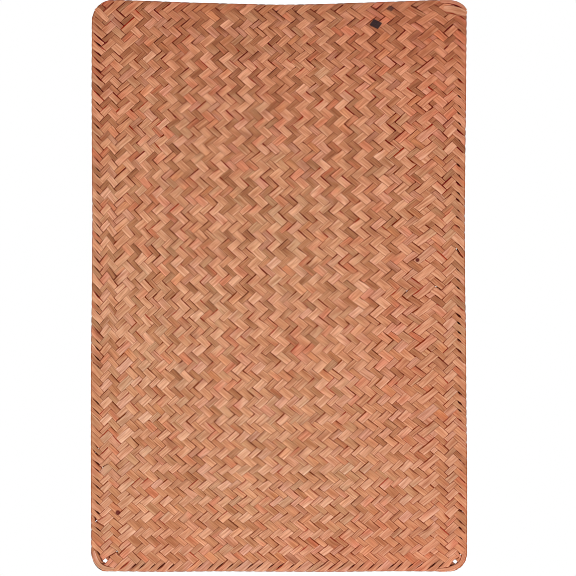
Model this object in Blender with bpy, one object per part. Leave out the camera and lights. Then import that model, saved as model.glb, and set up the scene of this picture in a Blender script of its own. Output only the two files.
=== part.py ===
"""A plaited pandanus mat lying flat: one thin sheet with a folded selvedge.

Metres, +Z up. The origin is under the middle of the mat, on the surface that it lies on.
+X runs across the mat and +Y along it, with the photograph's upper end at +Y.
"""

import math

import bpy

# Driving sizes of the whole sheet
WIDTH = 0.300
LENGTH = 0.456
THICKNESS = 0.0020
RIM_SLANT = 0.0006

# Round corners, each as (radius along X, radius along Y)
CORNERS = {
    "lower right": (0.0135, 0.0140),
    "upper right": (0.0160, 0.0155),
    "upper left": (0.0155, 0.0170),
    "lower left": (0.0115, 0.0140),
}
CORNER_STEPS = 9

# Each strip that turns back at an edge leaves a low rounded bulge there
FOLD_PITCH = 0.0068
FOLD_DEPTH = 0.00035
POINTS_PER_FOLD = 4

# How far each edge of the real mat lies inside a true rectangle, read at even steps along it.
# The lower edge goes from left to right and the others follow anticlockwise.
EDGE_INSETS = {
    "lower": (0.0004, 0.0000, 0.0003, 0.0001, 0.0000, 0.0004, 0.0002),
    "right": (0.0002, 0.0000, 0.0006, 0.0009, 0.0017, 0.0020, 0.0014, 0.0008, 0.0004),
    "upper": (0.0000, 0.0014, 0.0025, 0.0036, 0.0040, 0.0032, 0.0024, 0.0012, 0.0000),
    "left": (0.0008, 0.0006, 0.0008, 0.0013, 0.0009, 0.0003, 0.0000, 0.0001, 0.0005),
}

# Two worn places near the lower corners where a strip has slipped and left a hole.
# Each is (middle along X, middle along Y, half length, half height, slant in degrees).
WORN_HOLES = {
    "lower left hole": (-0.1391, -0.2194, 0.0023, 0.0017, 25.0),
    "lower right hole": (0.1405, -0.2195, 0.0023, 0.0018, -20.0),
}
HOLE_POINTS = 12

LEAF_COLOUR = (0.62, 0.32, 0.19, 1.0)
LEAF_ROUGHNESS = 0.62


def clear_scene():
    for thing in list(bpy.data.objects):
        bpy.data.objects.remove(thing, do_unlink=True)


def make_collection(name):
    collection = bpy.data.collections.new(name)
    bpy.context.scene.collection.children.link(collection)
    return collection


def make_material(name, colour, roughness):
    material = bpy.data.materials.new(name)
    material.use_nodes = True
    shader = material.node_tree.nodes["Principled BSDF"]
    shader.inputs["Base Color"].default_value = colour
    shader.inputs["Roughness"].default_value = roughness
    shader.inputs["Metallic"].default_value = 0.0
    return material


def inset_at(edge, share):
    """How far the edge lies inside the rectangle at this share of its length."""
    insets = EDGE_INSETS[edge]
    place = share * (len(insets) - 1)
    before = min(int(place), len(insets) - 2)
    ease = 0.5 - 0.5 * math.cos(math.pi * (place - before))
    return insets[before] + (insets[before + 1] - insets[before]) * ease


def fold_inset(fold_share):
    """A bulge is highest in its middle and falls to a notch at both ends."""
    return FOLD_DEPTH * (1.0 - math.sin(math.pi * (fold_share % 1.0)))


def edge_points(edge, start, end, inward):
    """Points along one edge, from the end of one corner's arc to the start of the next."""
    run = math.dist(start, end)
    folds = round(run / FOLD_PITCH)
    steps = folds * POINTS_PER_FOLD
    points = []
    for step in range(1, steps):
        share = step / steps
        inset = inset_at(edge, share) + fold_inset(step / POINTS_PER_FOLD)
        x = start[0] + (end[0] - start[0]) * share + inward[0] * inset
        y = start[1] + (end[1] - start[1]) * share + inward[1] * inset
        points.append((x, y))
    return points


def corner_points(name, side_x, side_y, first_edge, second_edge):
    """An arc of a quarter ellipse, which meets each edge where that edge's inset puts it."""
    radius_x, radius_y = CORNERS[name]
    centre_x = side_x * (WIDTH / 2 - radius_x)
    centre_y = side_y * (LENGTH / 2 - radius_y)
    insets = (inset_at(first_edge, 1.0), inset_at(second_edge, 0.0))
    starts_on_x = side_x * side_y > 0
    points = []
    for step in range(CORNER_STEPS + 1):
        share = step / CORNER_STEPS
        turn = share * math.pi / 2 if starts_on_x else (1.0 - share) * math.pi / 2
        inset = insets[0] + (insets[1] - insets[0]) * share
        x = centre_x + side_x * (radius_x - inset) * math.cos(turn)
        y = centre_y + side_y * (radius_y - inset) * math.sin(turn)
        points.append((x, y))
    return points


def outline_points():
    """The mat's outline, anticlockwise from the lower edge's left end."""
    half_x = WIDTH / 2
    half_y = LENGTH / 2
    lower_left = CORNERS["lower left"]
    lower_right = CORNERS["lower right"]
    upper_right = CORNERS["upper right"]
    upper_left = CORNERS["upper left"]
    points = []
    points += edge_points(
        "lower", (-half_x + lower_left[0], -half_y), (half_x - lower_right[0], -half_y), (0, 1)
    )
    points += corner_points("lower right", 1, -1, "lower", "right")
    points += edge_points(
        "right", (half_x, -half_y + lower_right[1]), (half_x, half_y - upper_right[1]), (-1, 0)
    )
    points += corner_points("upper right", 1, 1, "right", "upper")
    points += edge_points(
        "upper", (half_x - upper_right[0], half_y), (-half_x + upper_left[0], half_y), (0, -1)
    )
    points += corner_points("upper left", -1, 1, "upper", "left")
    points += edge_points(
        "left", (-half_x, half_y - upper_left[1]), (-half_x, -half_y + lower_left[1]), (1, 0)
    )
    points += corner_points("lower left", -1, -1, "left", "lower")
    return points


def centred(points):
    """The points moved so that the middle of their box is at the origin."""
    middle_x = (min(p[0] for p in points) + max(p[0] for p in points)) / 2
    middle_y = (min(p[1] for p in points) + max(p[1] for p in points)) / 2
    return [(x - middle_x, y - middle_y) for x, y in points]


def hole_points(middle_x, middle_y, half_length, half_height, slant):
    turn = math.radians(slant)
    points = []
    for step in range(HOLE_POINTS):
        around = 2.0 * math.pi * step / HOLE_POINTS
        along = half_length * math.cos(around)
        across = half_height * math.sin(around)
        x = middle_x + along * math.cos(turn) - across * math.sin(turn)
        y = middle_y + along * math.sin(turn) + across * math.cos(turn)
        points.append((x, y))
    return points


def add_loop(curve, points):
    """A closed straight-sided spline through the points."""
    spline = curve.splines.new("POLY")
    spline.points.add(len(points) - 1)
    for point, (x, y) in zip(spline.points, points):
        point.co = (x, y, 0.0, 1.0)
    spline.use_cyclic_u = True


def build_mat(collection):
    """A filled flat outline with two holes, given its thickness and a narrow slanted rim."""
    curve = bpy.data.curves.new("mat", "CURVE")
    curve.dimensions = "2D"
    curve.fill_mode = "BOTH"
    curve.extrude = THICKNESS / 2 - RIM_SLANT
    curve.bevel_depth = RIM_SLANT
    curve.bevel_resolution = 0
    curve.offset = -RIM_SLANT
    add_loop(curve, centred(outline_points()))
    for hole in WORN_HOLES.values():
        add_loop(curve, hole_points(*hole))
    mat = bpy.data.objects.new("mat", curve)
    mat.location = (0.0, 0.0, THICKNESS / 2)
    curve.materials.append(make_material("pandanus leaf", LEAF_COLOUR, LEAF_ROUGHNESS))
    collection.objects.link(mat)
    return mat


def main():
    clear_scene()
    build_mat(make_collection("pandanus mat"))


main()
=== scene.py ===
"""A plaited pandanus mat, built strip by strip.

In metres: +X across the mat, +Y along it and +Z up, with its underside at zero. Leaf strips run at
a slant both ways: rising strips go up to the right, and falling ones go down to the right. Where
two cross is a cell of the plait. Cells are counted in columns from the left edge and in rows from
the lower edge, each half a cell apart.
"""

import math

import bpy
import numpy as np
from mathutils import Color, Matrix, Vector


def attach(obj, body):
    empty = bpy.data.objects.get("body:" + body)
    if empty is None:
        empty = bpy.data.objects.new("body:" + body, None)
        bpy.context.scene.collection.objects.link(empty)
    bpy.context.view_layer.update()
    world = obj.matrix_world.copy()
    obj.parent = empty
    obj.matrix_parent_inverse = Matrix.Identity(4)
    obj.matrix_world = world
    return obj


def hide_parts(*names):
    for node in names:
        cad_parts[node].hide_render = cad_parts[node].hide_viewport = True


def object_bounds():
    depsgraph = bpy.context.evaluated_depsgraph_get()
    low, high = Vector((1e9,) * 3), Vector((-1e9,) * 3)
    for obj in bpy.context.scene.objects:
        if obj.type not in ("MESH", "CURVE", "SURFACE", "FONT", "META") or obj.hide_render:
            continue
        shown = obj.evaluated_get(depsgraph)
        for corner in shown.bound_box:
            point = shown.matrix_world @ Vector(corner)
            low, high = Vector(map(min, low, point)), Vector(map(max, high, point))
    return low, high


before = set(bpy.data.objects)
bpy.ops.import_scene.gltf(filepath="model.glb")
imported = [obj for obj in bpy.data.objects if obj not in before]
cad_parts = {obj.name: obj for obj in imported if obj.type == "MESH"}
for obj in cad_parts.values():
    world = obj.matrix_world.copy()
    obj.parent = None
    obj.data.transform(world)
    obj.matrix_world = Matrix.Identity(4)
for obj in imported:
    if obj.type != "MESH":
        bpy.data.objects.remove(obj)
CAD_LOW, CAD_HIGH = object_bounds()

# The photograph, and where the mat lies in it
PHOTO_PIXELS = 576
METRES_PER_PIXEL = 0.000797
MAT_MIDDLE_PIXEL = (279.0, 285.75)
LENS = 100.0
SENSOR = 36.0

# The solid mat's edges are read in this many stretches, this far from the corners
EDGE_STRETCHES = 30
CORNER_CLEAR = 0.020

# The plait's columns and rows
COLUMNS = 77
ROWS = 135
# Columns that the side borders reach in, and those of them where rising strips show
LEFT_BORDER = 8
RIGHT_BORDER = 7
RISING_BANDS = (3, 4, 7, 8)
# Rows of the bands along both ends
END_BAND = 2
# Past this column, every second rising strip dips under one cell at the upper edge
EARLY_DIPS = 24

# One strip of leaf
LEAF_THICKNESS = 0.00048
LAYER_RISE = 0.00050
LEAF_CROWN = 0.00007
FLOAT_SWELL = 0.00008
# A strip's width as a share of its place in the plait, how much that differs, and how far the
# boundaries between strips lie from even ones, in cells
LEAF_FILL = 1.03
FILL_JITTER = 0.02
WIDTH_JITTER = 0.055
# A strip's two sides are thinner than its middle by this share
SIDE_THINNING = 0.45
# Pale strips are cut wider than dark ones: each side lies this much further out, in cells
PALE_WIDENING = 0.085
# Each strip's lower side lies this far above its middle and covers the next one's upper side
LAP = 0.00008
# Smooth wobbles along a strip, each as (how far, rings in its longest wave): of its middle and its
# half width, in cells, and of its lap. The first two are whole this many rings from a fold.
SIDE_WANDER = (0.024, 47.0)
WIDTH_WANDER = (0.022, 29.0)
LAP_WANDER = (0.00003, 53.0)
WANDER_EASE = 12.0
# The waves that a wobble is made of, as shares of its longest one
WAVES = (1.0, 0.55, 0.3)
# A strip dives under the next one over this share of a cell, a little way in from that one's side
TURN_LENGTH = 0.44
TURN_PLACE = 0.11
# A float's own shade ends this far beyond the next strip's side, where it is covered
FLOAT_REACH = 0.13
# The strips that lie uppermost along an edge are drawn in beside their folds, which leaves dark
# slits. Each is (whether they are the rising ones, share of them that are drawn in far, least for
# those, most, cells from the fold to the narrowest place, cells that it reaches).
EDGE_SLITS = {
    "left": (False, 0.75, 0.13, 0.32, 1.60, 0.60),
    "right": (False, 0.50, 0.18, 0.32, 1.45, 0.38),
    "lower": (True, 0.85, 0.10, 0.26, 1.50, 0.80),
    "upper": (True, 0.55, 0.10, 0.28, 1.95, 0.35),
}
# The rest are drawn in by this share of it, and none close to a corner, on this scale in cells
SLIT_REST = 0.2
SLIT_FREE = 5.0
# Strips spread at their folds and close up into an even rim
FOLD_SPREAD = 0.045
FOLD_SPREAD_REACH = 0.5
FOLD_RADIUS = 0.00085
FOLD_SCALLOP = 0.06

# Rings along each cell of a strip, as shares of the cell
RING_SHARES = (0.0, 0.10, 0.24, 0.5, 0.76, 0.90)
# Rings from a folded end to the first whole ring, closest at the fold
END_SHARES = (0.0, 0.035, 0.085, 0.16, 0.27, 0.42, 0.60, 0.80)
# Whole rings keep this many cells from a slanting end. A strip too short for any has this many in
# all, and one shorter than this many cells is left out.
END_CLEAR = 0.25
SHORT_STRIP_RINGS = 16
SHORTEST_STRIP = 1.2
# Points across a strip: its upper face has all of these and its under face only the two sides
ACROSS = np.array((-1.0, -0.45, 0.45, 1.0))
UNDER = np.array((3, 0))
SECTION_POINTS = 6
# Corners of the two faces that close each end of a strip, and how far out its points are charted
CAP = np.array(((0, 1, 4, 5), (1, 2, 3, 4)))
CAP_REACH = np.array((0.4, 0.4, 0.4, 0.4, 1.0, 1.0))
# Points of the section where a strip's crisp edges run
CRISP_POINTS = (0, 3, 4, 5)
# Keeps a length above zero
TINY = 1e-12

# The rows stand closer together near the lower end. Each is (share of the rows from below, pitch).
ROW_PITCH = ((0.0, 4.03), (0.28, 4.03), (0.34, 4.28), (0.62, 4.33), (0.95, 4.26), (1.0, 4.1))
# The columns crowd together along both sides. Each is (share of the columns, pitch).
COLUMN_PITCH = (
    (0.0, 4.7), (0.14, 4.7), (0.4, 4.93), (0.75, 5.15), (0.88, 5.02), (0.92, 4.4), (1.0, 4.3),
)
PITCH_STEPS = 200

# How far the real plait was pulled out of square, in pixels of the photograph. Each row is (place
# down, pull to the right at each place across, pull upwards at each place across).
DRIFT_ACROSS = (115, 175, 235, 295, 355, 418, 442)
DRIFT = (
    (40, (0.5, 0.5, 0.0, -3.5, -5.0, -5.5, -2.0), (-0.5, 2.0, 3.0, 4.0, 3.5, 5.0, 5.0)),
    (110, (-4.0, -4.0, -3.5, -4.0, -5.5, -5.0, -2.0), (2.5, 4.0, 4.5, 7.0, 7.5, 8.5, 8.5)),
    (180, (-6.0, -11.5, -10.5, -9.0, -8.0, -5.5, -2.0), (5.5, 5.0, 6.5, 7.5, 7.5, 8.0, 8.0)),
    (250, (-7.5, -11.5, -12.0, -12.5, -11.0, -7.5, -2.5), (9.5, 5.5, 5.5, 5.0, 7.0, 8.5, 8.5)),
    (320, (-5.5, -9.5, -11.0, -10.5, -11.5, -9.0, -3.0), (8.5, 5.0, 2.5, 4.5, 6.0, 7.0, 7.0)),
    (390, (-3.0, -5.5, -6.0, -5.5, -5.0, -5.0, -2.0), (5.5, 3.0, 1.5, 3.5, 4.0, 5.5, 5.5)),
    (460, (-3.5, -4.0, -3.0, -0.5, -0.5, -3.5, -1.5), (1.5, 0.5, -1.0, 0.0, 1.0, 3.5, 3.5)),
    (530, (-2.0, -2.0, -1.5, -0.5, -0.5, -4.0, -1.5), (1.0, 0.0, 0.5, -1.0, -1.0, 0.0, 0.0)),
)
# It ends at the outline, and is whole this many pixels from it
DRIFT_EASE = 30.0

# Halvings that find where a strip meets the rounded outline
EDGE_HALVINGS = 24
# Rounding of the corners, as (columns, rows)
CORNER_CUTS = {
    "lower left": (3.1, 4.4),
    "lower right": (3.9, 4.4),
    "upper left": (4.1, 5.2),
    "upper right": (4.7, 4.7),
}

# Places where four strips stand apart and leave a way through, each as (pixel across, pixel down,
# how far each strip stands back in cells)
GAPS = {
    "lower left hole": (104.2, 561.0, 0.31),
    "lower right hole": (455.3, 561.1, 0.30),
    "lower right small hole": (460.6, 555.1, 0.10),
    "left pinhole": (96.4, 521.5, 0.11),
    "left upper pinhole": (97.0, 448.0, 0.07),
    "left inner pinhole": (103.0, 465.0, 0.07),
    "lower pinhole": (116.0, 551.2, 0.11),
    "right pinhole": (462.8, 511.0, 0.03),
    "right upper pinhole": (456.3, 246.6, 0.08),
    "inner pinhole": (432.7, 286.3, 0.08),
    "second inner pinhole": (406.3, 289.7, 0.07),
}
# How far to both sides and along a strip a gap is felt, in cells
GAP_ACROSS = 0.9
GAP_ALONG = 1.0
# How far round a hole the plait is shifted to bring a crossing to it. It is half of that round a
# pinhole, which opens no more than this, and the faintest bring the crossing only part of the way.
SHIFT_REACH = 0.0075
PINHOLE_OPENING = 0.2
FAINT_OPENING = 0.09
FAINT_SHIFT = 0.4
# Light comes in this far beside a hole
HOLE_LIGHT_REACH = 0.0055
# Nothing is pushed at the outline itself, and the push is whole this far from it
PUSH_FREE = 0.003

# Cells dyed nearly black, each as its middle and halves of its rising and its falling side in pixels:
# (across, down, rising side across, up, falling side across, down, strength)
DARK_CELLS = {
    "large dark cell": (375.8, 24.0, 2.3, 3.1, 4.3, 2.1, 0.97),
    "small dark cell": (390.4, 8.4, 1.5, 1.8, 2.6, 1.3, 0.72),
}
# Small spots of thicker dye: (pixel across, pixel down, radius)
DYE_SPOTS = {
    "right spot": (417.5, 260.0, 0.0016),
    "lower left spot": (117.9, 512.6, 0.0019),
}

# Shares of the mat's length from its lower end, and at each the middle tone, how far pale and dark
# strips stand from it, and how much paler rising strips and darker falling ones are besides, as
# painted sheen from the way the two directions of leaf catch the light
TONE_HEIGHTS = (0.0, 0.3, 0.5, 0.7, 0.88, 1.0)
MIDDLE_TONE = (0.485, 0.485, 0.485, 0.46, 0.40, 0.20)
RISING_CONTRAST = (0.065, 0.12, 0.16, 0.235, 0.265, 0.27)
FALLING_CONTRAST = (-0.07, 0.075, 0.225, 0.20, 0.14, 0.10)
FAMILY_SHEEN = (0.045, 0.075, 0.055, 0.015, -0.01, -0.03)
TONE_SPREAD = 0.045
# Each float differs from its strip by about this much, and its veins and dye start afresh
FLOAT_TONE_SPREAD = 0.105
FLOAT_SEED_SPREAD = 6.0
# Each strip's pattern starts somewhere within these: metres along it, and its own value
START_SPREAD = 3.0
SEED_SPREAD = 40.0

PIECES_PER_FAMILY = 3
SEED = 4187

# The rim of folds reaches this many cells in along each strip
RIM_CELLS = 0.9

# Strips that turn along a corner, over the ends of the others, each as its middle line in pixels,
# anticlockwise round the mat, its width in pixels, its lift, its share of TURN_BEND and its tone
CORNER_TURNS = {
    "lower left turn": (
        ((92.9, 551.0), (95.3, 560.0), (99.6, 565.6), (105.2, 568.4), (114.0, 569.8)),
        5.6, 0.0, 1.0, 0.68,
    ),
    "lower right turn": (
        ((438.0, 570.2), (448.0, 569.4), (456.0, 567.2), (461.5, 562.6), (464.9, 551.5)),
        4.8, 0.0, 1.0, 0.62,
    ),
    "upper right turn": (
        ((466.6, 14.0), (460.0, 11.8), (452.0, 9.9), (443.5, 8.4)),
        8.4, 0.0003, 0.1, 0.80,
    ),
    "upper left float": (
        ((108.0, 21.0), (102.0, 14.8), (95.8, 8.4)),
        6.2, 0.0001, 0.1, 0.72,
    ),
    "upper right rim": (
        ((466.0, 10.5), (462.5, 6.4), (456.5, 3.2), (448.0, 1.6), (440.0, 1.2)),
        4.4, 0.0, 1.0, 0.35,
    ),
}
TURN_RINGS = 28
# Times that a turn's middle line is smoothed, and how blunt its tips are: where on a half wave they
# lie, and the power that it is raised to
TURN_SMOOTHINGS = 6
TURN_TIP = 0.04
TURN_ROUNDING = 0.25
# How high a turn stands above the plait's middle from its inner side to its outer one, and how far
# it bends down there where it goes round the edge
TURN_SECTION = (0.00092, 0.00108, 0.00108, 0.00092)
TURN_BEND = (0.0, 0.0, 0.00013, 0.00072)

# Spacing of the strips on each piece's flat chart
CHART_MARGIN = 0.0012
CHART_ROW = 0.0004


def place_of_pixel(across, down):
    """Where a pixel of the photograph lies on the mat."""
    x = (across - MAT_MIDDLE_PIXEL[0]) * METRES_PER_PIXEL
    y = (MAT_MIDDLE_PIXEL[1] - down) * METRES_PER_PIXEL
    return x, y


def smooth(share):
    """A soft step from 0 to 1."""
    share = np.clip(share, 0.0, 1.0)
    return share * share * (3.0 - 2.0 * share)


def cumulative(pitches):
    """(places, shares) that turn a share of the count into a share of the length."""
    places = np.linspace(0.0, 1.0, PITCH_STEPS + 1)
    pitch = np.interp(places, [p[0] for p in pitches], [p[1] for p in pitches])
    total = np.concatenate([[0.0], np.cumsum((pitch[1:] + pitch[:-1]) / 2)])
    return places, total / total[-1]


def wave_noise(rng, count, most, longest):
    """A smooth seeded wobble for count places, up to most each way."""
    places = np.arange(count)
    total = np.zeros(count)
    for share in WAVES:
        turn = rng.uniform(0.0, 2.0 * math.pi)
        total += share * np.sin(2.0 * math.pi * places / (longest * share) + turn)
    return total / sum(WAVES) * most


def read_edge(axis, side):
    """(places along an edge, its coordinate there), with its small bulges smoothed away."""
    along = MAT_POINTS[:, 1 - axis]
    reach = along.max() - CORNER_CLEAR
    bins = np.linspace(-reach, reach, EDGE_STRETCHES + 1)
    outer = []
    for low, high in zip(bins[:-1], bins[1:]):
        within = MAT_POINTS[(along >= low) & (along <= high), axis]
        outer.append(side * (side * within).max())
    spread = np.convolve(np.pad(outer, 1, mode="edge"), np.ones(3) / 3, mode="valid")
    return (bins[1:] + bins[:-1]) / 2, spread


MAT_POINTS = np.array([v.co[:2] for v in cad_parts["mat"].data.vertices])
MAT_LOW = MAT_POINTS.min(0)
MAT_SIZE = MAT_POINTS.max(0) - MAT_LOW
LEFT_EDGE = read_edge(0, -1)
RIGHT_EDGE = read_edge(0, 1)
LOWER_EDGE = read_edge(1, -1)
UPPER_EDGE = read_edge(1, 1)
ROW_PLACES, ROW_SHARES = cumulative(ROW_PITCH)
COLUMN_PLACES, COLUMN_SHARES = cumulative(COLUMN_PITCH)


def drift_at(x, y, part):
    """The plait's drift at places on the mat, in metres: part 1 is to the right and part 2 is up."""
    across = x / METRES_PER_PIXEL + MAT_MIDDLE_PIXEL[0]
    down = MAT_MIDDLE_PIXEL[1] - y / METRES_PER_PIXEL
    place = np.interp(down, [line[0] for line in DRIFT], np.arange(len(DRIFT)))
    drift = 0.0
    for number, line in enumerate(DRIFT):
        share = np.clip(1.0 - np.abs(place - number), 0.0, None)
        drift = drift + share * np.interp(across, DRIFT_ACROSS, line[part])
    return drift * METRES_PER_PIXEL


def even_plan(column, row):
    """Where a place of the plait lies on the mat before any gap pushes strips aside, as x and y."""
    across = np.interp(column / COLUMNS, COLUMN_PLACES, COLUMN_SHARES)
    along = np.interp(row / ROWS, ROW_PLACES, ROW_SHARES)
    rough_x = MAT_LOW[0] + MAT_SIZE[0] * across
    rough_y = MAT_LOW[1] + MAT_SIZE[1] * along
    left = np.interp(rough_y, *LEFT_EDGE)
    right = np.interp(rough_y, *RIGHT_EDGE)
    lower = np.interp(rough_x, *LOWER_EDGE)
    upper = np.interp(rough_x, *UPPER_EDGE)
    x = left + (right - left) * across
    y = lower + (upper - lower) * along
    ease = DRIFT_EASE * METRES_PER_PIXEL
    free_x = np.clip(np.minimum(x - left, right - x) / ease, 0.0, 1.0)
    free_y = np.clip(np.minimum(y - lower, upper - y) / ease, 0.0, 1.0)
    return x + drift_at(x, y, 1) * free_x, y + drift_at(x, y, 2) * free_y


def nearest_crossing(x, y):
    """Of the places where four strips' corners meet, the one nearest to a point of the mat."""
    columns, rows = np.meshgrid(np.arange(1, COLUMNS), np.arange(1, ROWS))
    corner = (columns - rows) % 2 == 0
    columns, rows = columns[corner], rows[corner]
    place = np.stack(even_plan(columns.astype(float), rows.astype(float)))
    nearest = np.hypot(place[0] - x, place[1] - y).argmin()
    return columns[nearest], rows[nearest], place[:, nearest]


def settle_gaps():
    """Each gap with its crossing of the plait, that crossing's place and how far it has to move."""
    gaps = []
    for across, down, opening in GAPS.values():
        wanted = np.array(place_of_pixel(across, down))
        column, row, place = nearest_crossing(*wanted)
        reach = SHIFT_REACH if opening > PINHOLE_OPENING else SHIFT_REACH / 2
        shift = (wanted - place) * (1.0 if opening > FAINT_OPENING else FAINT_SHIFT)
        gaps.append({
            "column": column, "row": row, "place": place,
            "opening": opening, "shift": shift, "reach": reach,
        })
    return gaps


SETTLED_GAPS = settle_gaps()


def in_plan(column, row):
    """Where a place of the plait lies on the mat, as x and y, shifted a little round each gap."""
    x, y = even_plan(column, row)
    free = smooth(edge_distance(column, row) / PUSH_FREE)
    moved_x, moved_y = x, y
    for gap in SETTLED_GAPS:
        away = (x - gap["place"][0]) ** 2 + (y - gap["place"][1]) ** 2
        near = free * np.exp(-away / gap["reach"] ** 2)
        moved_x = moved_x + gap["shift"][0] * near
        moved_y = moved_y + gap["shift"][1] * near
    return moved_x, moved_y


def gap_push(family, index, side, along):
    """How far the gaps beside a strip push the lines along it to one side, in cells."""
    push = np.zeros(np.broadcast(side, along).shape)
    free = smooth(edge_distance(*family.place(side, along)) / PUSH_FREE)
    for gap in SETTLED_GAPS:
        total, difference = (gap["column"] + gap["row"]) // 2, (gap["column"] - gap["row"]) // 2
        gap_side, gap_along = (difference, total) if family.rising else (total, difference)
        near = np.exp(-(((side - gap_side) / GAP_ACROSS) ** 2) - ((along - gap_along) / GAP_ALONG) ** 2)
        push += gap["opening"] * near * free * (1.0 if index >= gap_side else -1.0)
    return push


def corner_reach(name, column, row):
    """How far a place lies along both axes of a corner's rounding: 1 at the arc's ends."""
    cut_columns, cut_rows = CORNER_CUTS[name]
    from_side = column if "left" in name else COLUMNS - column
    from_end = row if "lower" in name else ROWS - row
    return (cut_columns - from_side) / cut_columns, (cut_rows - from_end) / cut_rows


def inside(column, row):
    """Whether a place of the plait lies within the mat's rounded outline."""
    within = (column >= 0) & (column <= COLUMNS) & (row >= 0) & (row <= ROWS)
    for name in CORNER_CUTS:
        a, b = corner_reach(name, column, row)
        within &= np.clip(a, 0.0, None) ** 2 + np.clip(b, 0.0, None) ** 2 <= 1.0
    return within


def edge_distance(column, row):
    """Roughly how far a place is from the outline, in metres."""
    wide, high = MAT_SIZE[0] / COLUMNS, MAT_SIZE[1] / ROWS
    from_sides = np.minimum(column, COLUMNS - column) * wide
    from_ends = np.minimum(row, ROWS - row) * high
    distance = np.minimum(from_sides, from_ends)
    for name, (cut_columns, cut_rows) in CORNER_CUTS.items():
        a, b = corner_reach(name, column, row)
        arc = (1.0 - np.hypot(a, b)) * (cut_columns * wide + cut_rows * high) / 2
        distance = np.where((a > 0) & (b > 0), np.minimum(distance, arc), distance)
    return np.clip(distance, 0.0, None)


def rising_on_top(column, row):
    """Whether the rising strip shows at each cell: two over and two under, in level rows.

    Both side borders have upright bands instead. Along both ends every rising strip shows, but
    along most of the upper one every second of them dips early.
    """
    side = np.minimum(column, COLUMNS - column)
    end = np.minimum(row, ROWS - row)
    field = np.isin(row % 4, (1, 2))
    border = np.isin(side, RISING_BANDS)
    bordered = side <= np.where(column == side, LEFT_BORDER, RIGHT_BORDER)
    on_top = np.where(bordered, border, field)
    dips = (ROWS - row == 2) & (column > EARLY_DIPS) & ((column - row - 1) % 4 == 0)
    return np.where((end <= END_BAND) & (side > END_BAND), ~dips, on_top)


class Family:
    """All the strips that run one way, each between two neighbouring boundaries."""

    def __init__(self, name, rising, first, last, rng):
        self.name = name
        self.rising = rising
        self.first = first
        self.last = last
        index = np.arange(first, last + 2)
        wider = np.where(self.pale(index), -PALE_WIDENING, PALE_WIDENING)
        self.boundaries = index + wider + rng.uniform(-1.0, 1.0, len(index)) * WIDTH_JITTER

    def pale(self, index):
        """Every second strip is pale."""
        return np.asarray(index) % 2 == (1 if self.rising else 0)

    def boundary(self, index):
        """The boundary on the low side of the strip of this index."""
        place = np.asarray(index) - self.first
        known = np.clip(place, 0, len(self.boundaries) - 1)
        return self.boundaries[known] + (place - known)

    def place(self, side, along):
        """Column and row of a place that is given across and along this family's strips."""
        if self.rising:
            return side + along, along - side
        return side + along, side - along

    def ends(self, side):
        """Where each line along a strip enters and leaves the rounded outline, or None."""
        if self.rising:
            start = np.abs(side)
            end = np.minimum(COLUMNS - side, ROWS + side)
        else:
            start = np.maximum(-side, side - ROWS)
            end = np.minimum(side, COLUMNS - side)
        middle = (start + end) / 2
        if not inside(*self.place(side, middle)).all():
            return None
        return self.edge_between(side, middle, start), self.edge_between(side, middle, end)

    def edge_between(self, side, within, without):
        """The last place inside the outline on the way from a place within it to one without."""
        low, high = within.copy(), without.copy()
        for _ in range(EDGE_HALVINGS):
            middle = (low + high) / 2
            good = inside(*self.place(side, middle))
            low = np.where(good, middle, low)
            high = np.where(good, high, middle)
        return low


def levels_along(family, other, index, along):
    """Where a strip lies at places along it, from -1 under to 1 over, how near the middle of a float
    each place is, and the float's number, which changes where the strip is covered.
    """
    cells = np.arange(math.floor(along.min()) - 2, math.ceil(along.max()) + 3)
    if family.rising:
        on_top = rising_on_top(index + cells + 1, cells - index)
    else:
        on_top = ~rising_on_top(cells + index + 1, index - cells)
    state = np.where(on_top, 1.0, -1.0)
    starts = other.boundary(cells)
    levels = np.full(along.shape, state[0])
    swell = np.zeros(along.shape)
    count = np.zeros(along.shape, int)
    for cell in range(1, len(cells)):
        change = state[cell] - state[cell - 1]
        if change:
            turn_at = starts[cell] - np.sign(change) * TURN_PLACE
            levels += change * smooth((along - turn_at) / TURN_LENGTH + 0.5)
            count += along > starts[cell] - np.sign(change) * FLOAT_REACH
        else:
            swell += state[cell] * np.clip(1.0 - (along - starts[cell]) ** 2, 0.0, 1.0)
    return levels, np.clip(swell, -1.0, 1.0), count


def ring_places(starts, ends, other):
    """Each ring's place on each line along a strip, with slanting rings at both ends."""
    first = math.ceil(starts.max() + END_CLEAR)
    last = math.floor(ends.min() - END_CLEAR)
    if last <= first:
        ease = 0.5 - 0.5 * np.cos(math.pi * np.linspace(0.0, 1.0, SHORT_STRIP_RINGS))
        return starts[None, :] + (ends - starts)[None, :] * ease[:, None]
    cells = np.arange(first, last)
    low = other.boundary(cells)
    high = other.boundary(cells + 1)
    body = (low[:, None] + (high - low)[:, None] * np.array(RING_SHARES)).ravel()
    body = np.append(body, high[-1])
    shares = np.array(END_SHARES)
    head = starts[None, :] + (body[0] - starts)[None, :] * shares[:, None]
    tail = ends[None, :] + (body[-1] - ends)[None, :] * shares[::-1, None]
    return np.concatenate([head, np.repeat(body[:, None], len(starts), 1), tail])


def slit_beside(family, side, fold, cells_in, rng):
    """How much a strip is drawn in at places this many cells in from one of its folds."""
    column, row = family.place(side, fold)
    away = {"left": column, "right": COLUMNS - column, "lower": row, "upper": ROWS - row}
    edge, *others = sorted(away, key=away.get)
    rising, share, least, most, place, reach = EDGE_SLITS[edge]
    far = 1.0 if rng.uniform() < share else SLIT_REST
    pinch = rng.uniform(least, most) * far * smooth(away[others[0]] / SLIT_FREE - 0.5)
    if family.rising != rising:
        pinch = 0.0
    return pinch * np.exp(-(((cells_in - place) / reach) ** 2))


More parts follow.
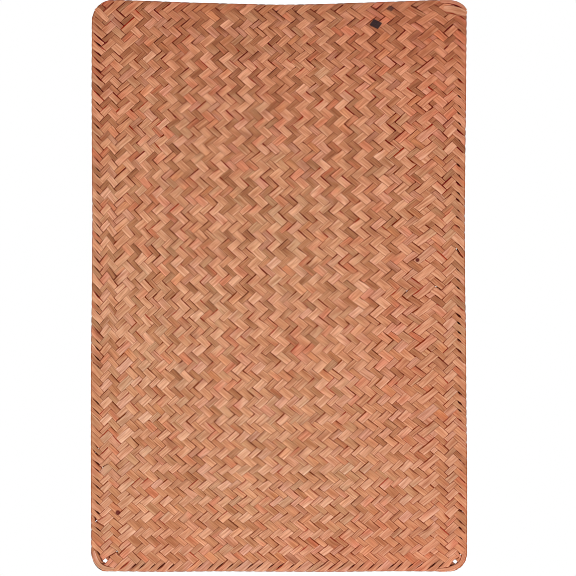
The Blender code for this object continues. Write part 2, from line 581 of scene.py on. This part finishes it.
def strip_sides(family, middle, sides, along, ends, rng):
    """Where each line along a strip lies across the plait: it wanders, and closes in at slits."""
    rings = len(along)
    across = ACROSS * (1.0 if family.rising else -1.0)
    from_end = np.minimum(np.arange(rings), np.arange(rings)[::-1])
    free = smooth((from_end - 1.0) / WANDER_EASE)[:, None]
    wander = wave_noise(rng, rings, *SIDE_WANDER)[:, None]
    swell = wave_noise(rng, rings, *WIDTH_WANDER)[:, None] * across[None, :]
    cells_in = np.minimum(along - ends[0], ends[1] - along)
    pinch = slit_beside(family, middle, ends[0].mean(), along - ends[0], rng)
    pinch += slit_beside(family, middle, ends[1].mean(), ends[1] - along, rng)
    pinch -= FOLD_SPREAD * np.exp(-((cells_in / FOLD_SPREAD_REACH) ** 2))
    return middle + (sides - middle)[None, :] * (1.0 - pinch) + (wander + swell) * free


def lit_at_holes(levels, x, y):
    """Leaf beside a hole counts as open and gets no painted shade, because light comes in there."""
    for gap in SETTLED_GAPS:
        if gap["opening"] > PINHOLE_OPENING:
            hole = gap["place"] + gap["shift"]
            beside = np.exp(-((x - hole[0]) ** 2 + (y - hole[1]) ** 2) / HOLE_LIGHT_REACH**2)
            levels = levels + (1.0 - levels) * beside
    return levels


def strip_surface(family, other, index, rng):
    """One strip's middle surface as rings of points, or None where a corner leaves too little.

    With it come its openness, how near a fold it is, its height on the mat and its floats' numbers.
    """
    low = float(family.boundary(index))
    high = float(family.boundary(index + 1))
    half = (high - low) / 2 * (LEAF_FILL + rng.uniform(-FILL_JITTER, FILL_JITTER))
    middle = (high + low) / 2
    sides = middle + ACROSS * (1.0 if family.rising else -1.0) * half
    ends = family.ends(sides)
    if ends is None or (ends[1] - ends[0]).min() < SHORTEST_STRIP:
        return None
    scallop = FOLD_SCALLOP * ACROSS**2
    along = ring_places(ends[0] + scallop, ends[1] - scallop, other)
    side = strip_sides(family, middle, sides, along, ends, rng)
    side += gap_push(family, index, side, along)
    column, row = family.place(side, along)
    x, y = in_plan(column, row)
    levels, float_middle, count = levels_along(family, other, index, along)
    near = np.clip(1.0 - edge_distance(column, row) / FOLD_RADIUS, 0.0, 1.0)
    turn = np.sqrt(1.0 - near**2)
    tilt = LAP + wave_noise(rng, len(along), *LAP_WANDER)[:, None]
    rise = LAYER_RISE + LEAF_CROWN * (1.0 - ACROSS**2)[None, :]
    z = levels * rise + FLOAT_SWELL * float_middle + tilt * ACROSS[None, :]
    levels = np.where(near > 0.0, np.maximum(levels, turn * levels), levels)
    cells_in = np.minimum(along - ends[0], ends[1] - along)
    surface = np.stack([x, y, CAD_HIGH.z / 2 + z * turn], axis=-1)
    rim = smooth(1.0 - cells_in / RIM_CELLS)
    return surface, lit_at_holes(levels, x, y), rim, row / ROWS, count


def closed_strip(surface, levels, rim, tone, seed, rng):
    """Gives a middle surface the leaf's thickness, thinner towards both sides, and closes it.

    Its look at each point is three values: its tone from 0 dark to 1 pale, from -1 covered to 1
    open, and from 0 clear of a fold to 1 at it.
    """
    run = np.gradient(surface, axis=0)
    cross = np.gradient(surface, ACROSS, axis=1)
    normal = np.cross(cross, run)
    normal /= np.linalg.norm(normal, axis=-1, keepdims=True) + TINY
    half = LEAF_THICKNESS / 2 * (1.0 - SIDE_THINNING * ACROSS**2)
    upper = surface + normal * half[None, :, None]
    under = surface[:, UNDER] - normal[:, UNDER] * half[UNDER][None, :, None]
    steps = np.linalg.norm(np.diff((surface[:, 1] + surface[:, 2]) / 2, axis=0), axis=1)
    distance = np.concatenate([[0.0], np.cumsum(steps)])
    widths = np.linalg.norm(surface[:, -1] - surface[:, 0], axis=1)
    section = np.append(np.arange(len(ACROSS)), UNDER)
    leaf = np.empty((len(surface), SECTION_POINTS, 3))
    leaf[..., 0] = distance[:, None] + rng.uniform(0.0, START_SPREAD)
    leaf[..., 1] = ACROSS[section]
    leaf[..., 2] = seed[:, section]
    openness = np.concatenate([levels, -levels[:, UNDER]], axis=1)
    return {
        "points": np.concatenate([upper, under], axis=1),
        "leaf": leaf,
        "look": np.stack([tone[:, section], openness, rim[:, section]], axis=-1),
        "distance": distance,
        "width": float(widths.mean()),
        "length": float(distance[-1]),
        "area": float((steps * (widths[1:] + widths[:-1]) / 2).sum()),
    }


def strip_quads(rings):
    """Corners of every face of a closed strip: round each pair of rings, then both ends."""
    ring = np.arange(rings - 1)[:, None] * SECTION_POINTS
    here = np.arange(SECTION_POINTS)[None, :]
    after = (here + 1) % SECTION_POINTS
    beyond = ring + SECTION_POINTS
    body = np.stack([ring + here, ring + after, beyond + after, beyond + here], axis=-1)
    return np.concatenate([body.reshape(-1, 4), CAP[:, ::-1], CAP + (rings - 1) * SECTION_POINTS])


def strip_chart(strip, across_at, along_at):
    """Each face corner's place on a flat chart of the leaf, in the order of strip_quads."""
    points = strip["points"]
    loop = np.concatenate([points, points[:, :1]], axis=1)
    round_steps = np.linalg.norm(np.diff(loop, axis=1), axis=-1).mean(0)
    round_at = np.concatenate([[0.0], np.cumsum(round_steps)]) + across_at
    along = strip["distance"] + along_at + CHART_MARGIN
    low, high, near, far = np.broadcast_arrays(
        along[:-1, None], along[1:, None], round_at[None, :-1], round_at[None, 1:]
    )
    u = np.stack([low, low, high, high], axis=-1)
    v = np.stack([near, far, far, near], axis=-1)
    body = np.stack([u, v], axis=-1).reshape(-1, 4, 2)
    cap_u = CHART_MARGIN / 2 * CAP_REACH
    cap_v = round_at[np.array((0, 1, 2, 3, *UNDER))]
    first = np.stack([along[0] - cap_u, cap_v], axis=-1)[CAP[:, ::-1]]
    last = np.stack([along[-1] + cap_u, cap_v], axis=-1)[CAP]
    return np.concatenate([body, first, last])


def chart_places(strips):
    """Where each strip starts on a square chart, with short ones sharing a row, and its size."""
    longest = max(s["length"] for s in strips) + 3 * CHART_MARGIN
    rows = []
    for index in sorted(range(len(strips)), key=lambda i: -strips[i]["length"]):
        need = strips[index]["length"] + 3 * CHART_MARGIN
        row = next((r for r in rows if r["used"] + need <= longest), None)
        if row is None:
            row = {"used": 0.0, "strips": [], "height": 0.0}
            rows.append(row)
        row["strips"].append((index, row["used"]))
        row["used"] += need
        row["height"] = max(row["height"], 2 * strips[index]["width"] + 3 * LEAF_THICKNESS)
    places = {}
    top = 0.0
    for row in rows:
        for index, used in row["strips"]:
            places[index] = (top + CHART_ROW, used)
        top += row["height"] + 2 * CHART_ROW
    return places, max(longest, top)


def add_object(name, data):
    made = bpy.data.objects.new(name, data)
    bpy.context.scene.collection.objects.link(made)
    return made


def set_values(data, name, values, kind):
    data.foreach_set(name, np.ascontiguousarray(values, kind).ravel())


def join_strips(name, strips):
    """One object of many closed strips."""
    places, chart_size = chart_places(strips)
    quads, charts, start = [], [], 0
    for index, strip in enumerate(strips):
        quads.append(strip_quads(len(strip["points"])) + start)
        charts.append(strip_chart(strip, *places[index]) / chart_size)
        start += len(strip["points"]) * SECTION_POINTS
    points = np.concatenate([s["points"].reshape(-1, 3) for s in strips])
    quads = np.concatenate(quads)
    mesh = bpy.data.meshes.new(name)
    mesh.vertices.add(len(points))
    set_values(mesh.vertices, "co", points, np.float32)
    mesh.loops.add(quads.size)
    set_values(mesh.loops, "vertex_index", quads, np.int32)
    mesh.polygons.add(len(quads))
    set_values(mesh.polygons, "loop_start", np.arange(0, quads.size, 4), np.int32)
    set_values(mesh.polygons, "use_smooth", np.ones(len(quads)), bool)
    mesh.update(calc_edges=True)
    for kind in ("leaf", "look"):
        values = np.concatenate([s[kind].reshape(-1) for s in strips])
        stored_values = mesh.attributes.new(kind, "FLOAT_VECTOR", "POINT")
        set_values(stored_values.data, "vector", values, np.float32)
    chart = mesh.uv_layers.new(name="OFBake")
    set_values(chart.data, "uv", np.concatenate(charts), np.float32)
    mark_sharp_sides(mesh)
    return add_object(name, mesh)


def mark_sharp_sides(mesh):
    """The leaf's two thin sides keep a crisp edge, and the rest is shaded smooth."""
    ends = np.empty(len(mesh.edges) * 2, np.int32)
    mesh.edges.foreach_get("vertices", ends)
    section = ends.reshape(-1, 2) % SECTION_POINTS
    lengthwise = (section[:, 0] == section[:, 1]) & np.isin(section[:, 0], CRISP_POINTS)
    sharp = mesh.attributes.new("sharp_edge", "BOOLEAN", "EDGE")
    set_values(sharp.data, "value", lengthwise, bool)


def tone_of(family, index, height, rng):
    """Strips alternate between pale and dark leaf, more strongly towards the upper end."""
    contrast = np.interp(height, TONE_HEIGHTS, RISING_CONTRAST if family.rising else FALLING_CONTRAST)
    # Painted sheen: rising strips paler and falling ones darker
    sheen = np.interp(height, TONE_HEIGHTS, FAMILY_SHEEN)
    middle = np.interp(height, TONE_HEIGHTS, MIDDLE_TONE)
    tone = middle + (contrast if family.pale(index) else -contrast) + (sheen if family.rising else -sheen)
    return tone + rng.normal(0.0, TONE_SPREAD)


def float_values(count, spread, rng):
    """A seeded value for each float of a strip, at every point of it."""
    values = rng.normal(0.0, spread, count.max() + 1)
    return values[count]


def plait(family, other, rng):
    """All the closed strips of one family."""
    strips = []
    for index in range(family.first, family.last + 1):
        made = strip_surface(family, other, index, rng)
        if made is not None:
            *middle, height, count = made
            tone = tone_of(family, index, height, rng)
            tone = tone + float_values(count, FLOAT_TONE_SPREAD, rng)
            seed = rng.uniform(0.0, SEED_SPREAD) + float_values(count, FLOAT_SEED_SPREAD, rng)
            strips.append(closed_strip(*middle, tone, seed, rng))
    return strips


def corner_turn(pixels, width, lift, bend, tone, rng):
    """A closed strip that follows a corner, over the ends of the others, and bends down outside."""
    path = np.array([place_of_pixel(*pixel) for pixel in pixels])
    run = np.concatenate([[0.0], np.cumsum(np.linalg.norm(np.diff(path, axis=0), axis=1))])
    places = np.linspace(0.0, run[-1], TURN_RINGS)
    middle = np.stack([np.interp(places, run, path[:, axis]) for axis in (0, 1)], axis=1)
    for _ in range(TURN_SMOOTHINGS):
        middle[1:-1] = (middle[:-2] + 2.0 * middle[1:-1] + middle[2:]) / 4.0
    ahead = np.gradient(middle, axis=0)
    ahead /= np.linalg.norm(ahead, axis=1, keepdims=True)
    outward = np.stack([ahead[:, 1], -ahead[:, 0]], axis=1)
    ease = np.sin(math.pi * np.linspace(TURN_TIP, 1.0 - TURN_TIP, TURN_RINGS)) ** TURN_ROUNDING
    half = width / 2 * METRES_PER_PIXEL * ease
    plan = middle[:, None, :] + outward[:, None, :] * half[:, None, None] * ACROSS[None, :, None]
    section = np.array(TURN_SECTION) - bend * np.array(TURN_BEND) + lift
    height = CAD_HIGH.z / 2 + section[None, :] * ease[:, None]
    surface = np.concatenate([plan, height[..., None]], axis=-1)
    flat = np.ones(surface.shape[:2])
    seed = flat * rng.uniform(0.0, SEED_SPREAD)
    return closed_strip(surface, flat, flat * 0.0, flat * tone, seed, rng)


def split_evenly(strips, parts):
    """Neighbouring strips in groups that have about the same number of points."""
    sizes = np.cumsum([len(s["points"]) for s in strips])
    bounds = [np.searchsorted(sizes, sizes[-1] * part / parts) for part in range(parts)]
    bounds.append(len(strips))
    return [strips[low:high] for low, high in zip(bounds[:-1], bounds[1:])]


def add_piece(name, strips, material):
    """A piece of the mat with its material and its strips side by side, which hides the solid mat."""
    piece = join_strips(name, strips)
    piece.data.materials.append(material)
    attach(piece, "root")
    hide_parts("mat")


def srgb(*values):
    """A colour given in the photograph's 0 to 255 values, as the renderer's linear ones."""
    return (*Color([value / 255.0 for value in values]).from_srgb_to_scene_linear(), 1.0)


def fill(tree, made, inputs):
    """Sets a node's sockets to their values, or links them."""
    for key, value in inputs.items():
        if isinstance(value, bpy.types.NodeSocket):
            tree.links.new(value, made.inputs[key])
        else:
            made.inputs[key].default_value = value


def node(tree, kind, inputs, **settings):
    """A shader node with its settings, its values and its links."""
    made = tree.nodes.new("ShaderNode" + kind)
    for name, value in settings.items():
        setattr(made, name, value)
    fill(tree, made, inputs)
    return made


def new_material(name):
    """A material, its node tree and its shader."""
    material = bpy.data.materials.new(name)
    material.use_nodes = True
    return material, material.node_tree, material.node_tree.nodes["Principled BSDF"]


def maths(tree, operation, first, second=0.0):
    return node(tree, "Math", {0: first, 1: second}, operation=operation).outputs[0]


def times(tree, first, second):
    return maths(tree, "MULTIPLY", first, second)


def plus(tree, first, second):
    return maths(tree, "ADD", first, second)


def vectors(tree, operation, first, second=(0.0, 0.0, 0.0)):
    made = node(tree, "VectorMath", {0: first, 1: second}, operation=operation)
    return made.outputs["Value" if operation in ("DOT_PRODUCT", "LENGTH") else "Vector"]


def noise(tree, place, grain, detail=2.0, roughness=0.5):
    """Noise that is drawn out: its grain is how often it repeats in a metre each way."""
    made = node(tree, "TexNoise", {
        "Vector": vectors(tree, "MULTIPLY", place, grain),
        "Scale": 1.0, "Detail": detail, "Roughness": roughness,
    })
    return made.outputs["Fac"]


def fit(tree, value, low, high, to_low=0.0, to_high=1.0):
    """Remaps a value smoothly from one range to another."""
    made = node(tree, "MapRange", {
        "Value": value, "From Min": low, "From Max": high, "To Min": to_low, "To Max": to_high,
    }, interpolation_type="SMOOTHSTEP")
    return made.outputs["Result"]


def pattern(tree, place, grain, low, high, at_low, at_high, detail=2.0, roughness=0.5):
    """How strongly a pattern shows, from noise of this grain."""
    return fit(tree, noise(tree, place, grain, detail, roughness), low, high, at_low, at_high)


def blend(tree, share, first, second, **settings):
    """Two colours mixed by a share from 0 to 1."""
    sockets = dict(zip(COLOUR_MIX_SOCKETS, (share, first, second)))
    return node(tree, "Mix", sockets, data_type="RGBA", **settings).outputs[2]


def dye(tree, colour, share, left):
    """A colour with a share of some dye over it, which leaves so much of red, green and blue."""
    left = blend(tree, share, WHITE, left, clamp_factor=False)
    return blend(tree, 1.0, colour, left, blend_type="MULTIPLY")


def ramp(tree, value, stops):
    """A colour picked from stops of (place, colour in the photograph's values)."""
    made = node(tree, "ValToRGB", {"Fac": value})
    elements = made.color_ramp.elements
    for element, (place, colour) in zip(elements, stops):
        element.position, element.color = place, srgb(*colour)
    for place, colour in stops[2:]:
        elements.new(place).color = srgb(*colour)
    return made.outputs["Color"]


COLOUR_MIX_SOCKETS = (0, 6, 7)
WHITE = (1.0, 1.0, 1.0, 1.0)
# Dyed leaf as it shows in the photograph, from dark to pale
LEAF_SHADES = (
    (0.0, (150, 95, 63)), (0.2, (168, 110, 75)), (0.4, (185, 125, 89)),
    (0.6, (198, 138, 102)), (0.8, (207, 149, 114)), (1.0, (213, 159, 126)),
)
DARK_SPOT = srgb(88, 14, 10)
BLACK_LEAF = srgb(42, 31, 34)
# What dyes and paint leave of red, green and blue: painted brown shadow at sides and float ends,
# painted red shadow at some sides, dye of streaks and veins that also paints shade at the outline,
# painted shade under covering strips, redder parts of the mat, and a painted highlight inside sides
DEEP_SHADE = (0.31, 0.085, 0.018, 1.0)
RED_SIDE_SHADE = (0.52, 0.13, 0.08, 1.0)
VEIN_DYE_AND_RIM_SHADE = (0.60, 0.38, 0.26, 1.0)
UNDER_SHADE = (0.29, 0.070, 0.014, 1.0)
RED_TINT = (1.0, 0.80, 0.775, 1.0)
SIDE_HIGHLIGHT = (0.85, 0.55, 0.38, 1.0)
# Painted sheen: in the lower half the rising strips are pinker and the falling ones more orange
FAMILY_SHEEN_TINTS = {"rising": (1.0, 1.04, 1.12, 1.0), "falling": (1.0, 0.965, 0.93, 1.0)}
LOWER_HALF = (0.07, -0.15, 0.0, 0.95)

# Patterns in the leaf, each as its grain, two values of noise and how strongly it shows at both. A
# grain is for a metre along the leaf, a metre across it and one step of the leaf's own value. Less
# detail than most comes last.
SHADE = ((70.0, 90.0, 3.1), 0.22, 0.78, -0.13, 0.13, 1.0)
VEINS = ((18.0, 700.0, 9.1), 0.61, 0.69, 0.0, 0.42, 1.0, 0.4)
# The next three only steer painted shadow: the side lines' width and depth, red against brown, and the
# end lines' strength
SIDE_SHADE_PATCHES = ((60.0, 10.0, 4.4), 0.36, 0.64, 0.0, 1.0)
RED_SHADE_LINES = ((16.0, 20.0, 7.3), 0.52, 0.60, 0.0, 1.0)
END_SHADOW_PATCHES = ((90.0, 60.0, 6.6), 0.38, 0.62, 0.15, 0.9)
DYE_PATCHES = {
    "red": (((24.0, 60.0, 5.3), 0.54, 0.68, 0.0, 0.62), srgb(196, 110, 78)),
    "orange": (((20.0, 40.0, 7.9), 0.58, 0.70, 0.0, 0.50), srgb(204, 130, 84)),
    "olive": (((20.0, 30.0, 6.1), 0.54, 0.64, 0.0, 0.58), srgb(174, 128, 93)),
    "pink": (((20.0, 40.0, 8.7), 0.54, 0.66, 0.0, 0.50), srgb(200, 140, 116)),
    "brown": (((22.0, 60.0, 4.9), 0.62, 0.72, 0.0, 0.55), srgb(142, 84, 58)),
}
STREAK_GRAIN = (80.0, 900.0, 2.3)
# Two values of the streaks' noise, and at both the share of dye and the roughness
STREAKS = (0.66, 0.34, -0.38, 0.32)
ROUGHNESS = (0.3, 0.7, 0.62, 0.46)
SPECULAR = 0.12
# Grooves lie along the streaks, and the veins are this much deeper
VEIN_HEIGHT = -0.8
GROOVES = {"Strength": 0.6, "Distance": 0.00016}

# Where the painted highlight and painted shadow lines start and are full across a strip, whose
# sides are at -1 and 1, and their shares there
LEAF_HALF_WIDTH = 0.0026
SIDE_HIGHLIGHT_FROM = (0.45, 0.70)
SIDE_HIGHLIGHT_TO = (0.90, 0.74)
SIDE_HIGHLIGHT_SHARE = -0.44
UPPER_SIDE = (-0.82, -1.00)
LOWER_SIDE = (0.86, 0.98, 0.0, 0.60)
# In patches the upper painted shadow line is this much wider, and both are darker: (least, more)
SIDE_SHADE_WIDENING = 0.28
SIDE_SHADE_SHARE = (0.36, 0.68)
# Both painted shadow lines fade on the rim of folds, and are stronger towards the mat's upper end
RIM_FADE = (0.35, 0.75, 1.0, 0.25)
UPWARD_GAIN = (-0.20, 0.20, 0.93, 1.08)
# How open leaf is where the painted shadow line beside the next strip, and the painted shade under
# it, start and are full
END_SHADOW_RANGE = (0.93, 0.78)
UNDER_SHADE_RANGE = (0.45, -0.45)
# How near its fold the leaf is where the painted shade along the outline starts and is full
OUTLINE_SHADE = (0.76, 0.98, 0.0, 0.80)

# The dye took redder in soft patches, and along the mat's edges. Each of those is (axis, where it
# starts, where it is full, how much it adds).
REDDER_PATCHES = ((14.0, 11.0, 1.0), 0.35, 0.65, -0.12, 0.16)
REDDER_EDGES = {
    "upper": ("Y", 0.050, 0.205, 0.55),
    "right": ("X", 0.005, 0.130, 0.40),
    "lower": ("Y", -0.165, -0.215, 0.34),
    "left": ("X", -0.125, -0.145, 0.12),
}
# The soft outlines of dark cells and dye spots, as shares of the way out from their middles
CELL_EDGE = (0.90, 1.08, 1.0, 0.0)
SPOT_EDGE = (0.65, 1.35, 0.95, 0.0)


def on_mat(tree):
    """The shaded point's place on the mat."""
    return node(tree, "TexCoord", {}).outputs["Object"]


def parts_of(tree, vector):
    """A vector's three parts by their axes."""
    made = node(tree, "SeparateXYZ", {0: vector})
    return {axis: made.outputs[axis] for axis in "XYZ"}


def stored(tree, name):
    """The three values that the mesh holds at each point under this name."""
    made = node(tree, "Attribute", {}, attribute_name=name, attribute_type="GEOMETRY")
    return parts_of(tree, made.outputs["Vector"]).values()


def redder(tree):
    """How much redder the dye is here than at the middle of the mat."""
    position = on_mat(tree)
    parts = parts_of(tree, position)
    total = pattern(tree, position, *REDDER_PATCHES)
    for axis, start, full, most in REDDER_EDGES.values():
        total = plus(tree, total, fit(tree, parts[axis], start, full, 0.0, most))
    return total


def from_pixel(tree, across, down):
    """The way to the shaded point from where a pixel of the photograph lies."""
    return vectors(tree, "SUBTRACT", on_mat(tree), (*place_of_pixel(across, down), 0.0))


def dark_cells(tree):
    """A share that is near 1 inside each dark cell."""
    total = 0.0
    for across, down, rise_x, rise_y, fall_x, fall_y, strength in DARK_CELLS.values():
        way = from_pixel(tree, across, down)
        size = METRES_PER_PIXEL * (rise_x * fall_y + rise_y * fall_x)
        share = strength
        for normal in ((fall_y / size, fall_x / size, 0.0), (rise_y / size, -rise_x / size, 0.0)):
            away = maths(tree, "ABSOLUTE", vectors(tree, "DOT_PRODUCT", way, normal))
            share = times(tree, share, fit(tree, away, *CELL_EDGE))
        total = maths(tree, "MAXIMUM", total, share)
    return total


def dye_spots(tree):
    """A share that is near 1 inside each dye spot."""
    total = 0.0
    for across, down, radius in DYE_SPOTS.values():
        flat = (1.0 / radius, 1.0 / radius, 0.0)
        away = vectors(tree, "MULTIPLY", from_pixel(tree, across, down), flat)
        share = fit(tree, vectors(tree, "LENGTH", away), *SPOT_EDGE)
        total = maths(tree, "MAXIMUM", total, share)
    return total


def leaf_colour(tree, place, tone, family_name):
    """The float's own shade with patches of other dye, its slow changes over the mat and painted sheen.
    """
    colour = ramp(tree, plus(tree, tone, pattern(tree, place, *SHADE)), LEAF_SHADES)
    for patch, other in DYE_PATCHES.values():
        colour = blend(tree, pattern(tree, place, *patch), colour, other)
    colour = dye(tree, colour, redder(tree), RED_TINT)
    # Painted sheen: in the lower half, rising strips pinker and falling ones more orange
    lower_half = fit(tree, parts_of(tree, on_mat(tree))["Y"], *LOWER_HALF)
    return dye(tree, colour, lower_half, FAMILY_SHEEN_TINTS[family_name])


def paint_side_shade(tree, colour, place, across, fold):
    """Painted red and brown shadow lines along both sides, with a painted highlight inside them."""
    from_middle = maths(tree, "ABSOLUTE", across)
    # Painted highlight in a thin band just inside both sides
    side_highlight = times(tree, fit(tree, from_middle, *SIDE_HIGHLIGHT_FROM), fit(tree, from_middle, *SIDE_HIGHLIGHT_TO))
    colour = dye(tree, colour, times(tree, side_highlight, SIDE_HIGHLIGHT_SHARE), SIDE_HIGHLIGHT)
    # Painted shadow lines along both sides, mostly the upper one, in red and brown
    shade_patches = pattern(tree, place, *SIDE_SHADE_PATCHES)
    reach = maths(tree, "SUBTRACT", across, times(tree, shade_patches, SIDE_SHADE_WIDENING))
    shadow_lines = plus(tree, fit(tree, reach, *UPPER_SIDE), fit(tree, across, *LOWER_SIDE))
    least, more = SIDE_SHADE_SHARE
    share = times(tree, shadow_lines, plus(tree, times(tree, shade_patches, more), least))
    upward = fit(tree, parts_of(tree, on_mat(tree))["Y"], *UPWARD_GAIN)
    share = times(tree, share, times(tree, fit(tree, fold, *RIM_FADE), upward))
    red = pattern(tree, place, *RED_SHADE_LINES)
    colour = dye(tree, colour, times(tree, share, red), RED_SIDE_SHADE)
    brown = maths(tree, "SUBTRACT", 1.0, red)
    return dye(tree, colour, times(tree, share, brown), DEEP_SHADE)


def paint_end_shade(tree, colour, place, openness, fold):
    """Painted shadow where the next strip covers this one, painted shade under it and at the outline.
    """
    # Painted shadow line where the next strip covers this one, stronger in patches
    line = times(tree, fit(tree, openness, *END_SHADOW_RANGE), pattern(tree, place, *END_SHADOW_PATCHES))
    colour = dye(tree, colour, line, DEEP_SHADE)
    # Painted shade on leaf that runs under the next strip
    colour = dye(tree, colour, fit(tree, openness, *UNDER_SHADE_RANGE), UNDER_SHADE)
    # Painted shade along the outline, where the folds turn down
    return dye(tree, colour, fit(tree, fold, *OUTLINE_SHADE), VEIN_DYE_AND_RIM_SHADE)


def leaf_material(family_name):
    """Split pandanus leaf, dyed reddish orange, with painted shadow, shade, highlight and sheen."""
    material, tree, shader = new_material(f"{family_name} pandanus leaf")
    along, across, own = stored(tree, "leaf")
    width = times(tree, across, LEAF_HALF_WIDTH)
    place = node(tree, "CombineXYZ", {"X": along, "Y": width, "Z": own}).outputs[0]
    tone, openness, fold = stored(tree, "look")
    streaks = noise(tree, place, STREAK_GRAIN)
    veins = pattern(tree, place, *VEINS)
    colour = leaf_colour(tree, place, tone, family_name)
    colour = dye(tree, colour, fit(tree, streaks, *STREAKS), VEIN_DYE_AND_RIM_SHADE)
    colour = dye(tree, colour, veins, VEIN_DYE_AND_RIM_SHADE)
    colour = paint_side_shade(tree, colour, place, across, fold)
    colour = paint_end_shade(tree, colour, place, openness, fold)
    colour = blend(tree, dye_spots(tree), colour, DARK_SPOT)
    colour = blend(tree, dark_cells(tree), colour, BLACK_LEAF)
    height = plus(tree, streaks, times(tree, veins, VEIN_HEIGHT))
    grooves = node(tree, "Bump", {**GROOVES, "Height": height})
    fill(tree, shader, {
        "Base Color": colour,
        "Roughness": fit(tree, streaks, *ROUGHNESS),
        "Specular IOR Level": SPECULAR,
        "Normal": grooves.outputs["Normal"],
    })
    return material


def build_mat():
    rng = np.random.default_rng(SEED)
    rising = Family("rising", True, -(ROWS // 2) - 1, COLUMNS // 2, rng)
    falling = Family("falling", False, 0, (COLUMNS + ROWS) // 2 - 1, rng)
    materials = {name: leaf_material(name) for name in FAMILY_SHEEN_TINTS}
    for family, other in ((rising, falling), (falling, rising)):
        groups = split_evenly(plait(family, other, rng), PIECES_PER_FAMILY)
        for number, strips in enumerate(groups, 1):
            add_piece(f"{family.name}_leaf_{number}", strips, materials[family.name])
    turns = [corner_turn(*turn, rng) for turn in CORNER_TURNS.values()]
    add_piece("corner_turns", turns, materials["rising"])


FLOOR_SIZE = 12.0
FLOOR_COLOUR = (0.95, 0.95, 0.95, 1.0)
KEY_LIGHT = {"place": (-0.10, -1.15, 1.25), "size": 0.45, "watts": 18.4}
FILL_LIGHT = {"place": (0.45, 1.10, 1.35), "size": 1.2, "watts": 7.6}
WORLD_LIGHT = 0.53
PIXEL_FILTER = 0.80


def build_floor():
    """A plain pale floor that the camera sees as even white, as in the photograph."""
    bpy.ops.mesh.primitive_plane_add(size=FLOOR_SIZE)
    floor = bpy.context.object
    floor.name = "floor"
    material, tree, shader = new_material("pale floor")
    fill(tree, shader, {"Base Color": FLOOR_COLOUR, "Roughness": 1.0, "Specular IOR Level": 0.0})
    seen = node(tree, "LightPath", {}).outputs["Is Camera Ray"]
    bright = node(tree, "Emission", {"Color": WHITE, "Strength": 1.0})
    mixed = node(tree, "MixShader", {0: seen, 1: shader.outputs[0], 2: bright.outputs[0]})
    fill(tree, tree.nodes["Material Output"], {"Surface": mixed.outputs[0]})
    floor.data.materials.append(material)


def add_area_light(name, place, size, watts):
    light = bpy.data.lights.new(name, "AREA")
    light.size = size
    light.energy = watts
    lamp = add_object(name, light)
    lamp.location = place
    lamp.rotation_euler = (-Vector(place)).to_track_quat("-Z", "Y").to_euler()


def build_world():
    """Even pale light from all round, and plain white where the camera sees past the floor."""
    world = bpy.data.worlds.new("studio")
    world.use_nodes = True
    bpy.context.scene.world = world
    tree = world.node_tree
    seen = node(tree, "LightPath", {}).outputs["Is Camera Ray"]
    strength = fit(tree, seen, 0.0, 1.0, WORLD_LIGHT, 1.0)
    fill(tree, tree.nodes["Background"], {"Color": WHITE, "Strength": strength})


def build_camera():
    """Straight above, with the photograph's middle in the middle of the view."""
    data = bpy.data.cameras.new("camera")
    data.lens = LENS
    data.sensor_width = SENSOR
    camera = add_object("camera", data)
    height = PHOTO_PIXELS * METRES_PER_PIXEL * LENS / SENSOR
    camera.location = (*place_of_pixel(PHOTO_PIXELS / 2, PHOTO_PIXELS / 2), height + CAD_HIGH.z)
    bpy.context.scene.camera = camera


def build_studio():
    build_floor()
    build_world()
    add_area_light("key", **KEY_LIGHT)
    add_area_light("fill", **FILL_LIGHT)
    build_camera()
    bpy.context.scene.view_settings.view_transform = "Standard"
    bpy.context.scene.cycles.filter_width = PIXEL_FILTER


build_mat()
build_studio()
